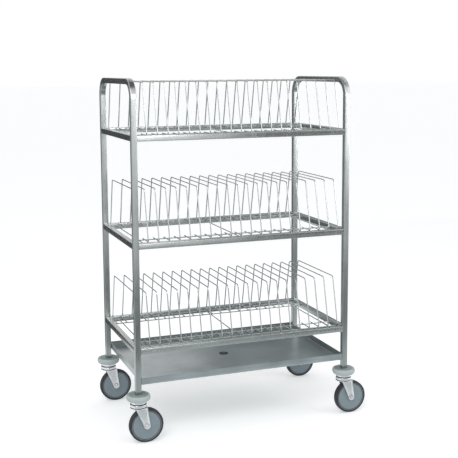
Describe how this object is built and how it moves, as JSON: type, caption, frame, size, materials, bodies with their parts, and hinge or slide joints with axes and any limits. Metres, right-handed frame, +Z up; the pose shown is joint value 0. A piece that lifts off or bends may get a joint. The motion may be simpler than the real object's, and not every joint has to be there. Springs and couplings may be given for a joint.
{
  "type": "tray drying trolley",
  "caption": "Stainless steel tray drying trolley with wire hoop racks between two bent side frames, a drip tray with a drain, and swivel castors with round bumpers.",
  "frame": {"origin": "on the floor, under the middle of the rectangle that the four uprights make", "axes": "+Z up; +X along the racks, to the right seen from the front; +Y from the front to the back"},
  "size_m": [1.134, 0.6538, 1.545],
  "materials": {
    "stainless_tube": "satin stainless steel square tube",
    "stainless_wire": "bright drawn stainless steel wire",
    "stainless_sheet": "satin stainless steel sheet",
    "zinc_plate": "bright zinc-plated pressed steel",
    "grey_bumper": "pale grey moulded bumper",
    "grey_wheel": "grey moulded wheel disc",
    "dark_tyre": "near-black solid tyre"
  },
  "bodies": {
    "frame": {"left_hoop": "stainless_tube", "right_hoop": "stainless_tube", "top_front_rail": "stainless_tube", "top_rear_rail": "stainless_tube", "top_left_rail": "stainless_tube", "top_right_rail": "stainless_tube", "top_hoops": "stainless_wire", "top_long_rods": "stainless_wire", "top_cross_ties": "stainless_wire", "middle_front_rail": "stainless_tube", "middle_rear_rail": "stainless_tube", "middle_left_rail": "stainless_tube", "middle_right_rail": "stainless_tube", "middle_hoops": "stainless_wire", "middle_long_rods": "stainless_wire", "middle_cross_ties": "stainless_wire", "lower_front_rail": "stainless_tube", "lower_rear_rail": "stainless_tube", "lower_left_rail": "stainless_tube", "lower_right_rail": "stainless_tube", "lower_hoops": "stainless_wire", "lower_long_rods": "stainless_wire", "lower_cross_ties": "stainless_wire", "drip_tray": "stainless_sheet", "drain_strainer": "stainless_wire", "castor_bumpers": "grey_bumper", "castor_stems": "zinc_plate"},
    "swivel_front_left": {"fork_front_left": "zinc_plate", "axle_bolt_front_left": "zinc_plate"},
    "wheel_front_left": {"wheel_front_left": "grey_wheel", "tyre_front_left": "dark_tyre"},
    "swivel_front_right": {"fork_front_right": "zinc_plate", "axle_bolt_front_right": "zinc_plate"},
    "wheel_front_right": {"wheel_front_right": "grey_wheel", "tyre_front_right": "dark_tyre"},
    "swivel_rear_left": {"fork_rear_left": "zinc_plate", "axle_bolt_rear_left": "zinc_plate"},
    "wheel_rear_left": {"wheel_rear_left": "grey_wheel", "tyre_rear_left": "dark_tyre"},
    "swivel_rear_right": {"fork_rear_right": "zinc_plate", "axle_bolt_rear_right": "zinc_plate"},
    "wheel_rear_right": {"wheel_rear_right": "grey_wheel", "tyre_rear_right": "dark_tyre"}
  },
  "joints": [
    {"name": "swivel_turn_front_left", "type": "hinge", "parent": "frame", "child": "swivel_front_left", "pos_m": [-0.4875, -0.275, 0.166], "axis": [0, 0, 1], "continuous": true},
    {"name": "wheel_roll_front_left", "type": "hinge", "parent": "swivel_front_left", "child": "wheel_front_left", "pos_m": [-0.4555, -0.275, 0.075], "axis": [0, 1, 0], "continuous": true},
    {"name": "swivel_turn_front_right", "type": "hinge", "parent": "frame", "child": "swivel_front_right", "pos_m": [0.4875, -0.275, 0.166], "axis": [0, 0, 1], "continuous": true},
    {"name": "wheel_roll_front_right", "type": "hinge", "parent": "swivel_front_right", "child": "wheel_front_right", "pos_m": [0.5195, -0.275, 0.075], "axis": [0, 1, 0], "continuous": true},
    {"name": "swivel_turn_rear_left", "type": "hinge", "parent": "frame", "child": "swivel_rear_left", "pos_m": [-0.4875, 0.275, 0.166], "axis": [0, 0, 1], "continuous": true},
    {"name": "wheel_roll_rear_left", "type": "hinge", "parent": "swivel_rear_left", "child": "wheel_rear_left", "pos_m": [-0.4555, 0.275, 0.075], "axis": [0, 1, 0], "continuous": true},
    {"name": "swivel_turn_rear_right", "type": "hinge", "parent": "frame", "child": "swivel_rear_right", "pos_m": [0.4875, 0.275, 0.166], "axis": [0, 0, 1], "continuous": true},
    {"name": "wheel_roll_rear_right", "type": "hinge", "parent": "swivel_rear_right", "child": "wheel_rear_right", "pos_m": [0.5195, 0.275, 0.075], "axis": [0, 1, 0], "continuous": true}
  ]
}
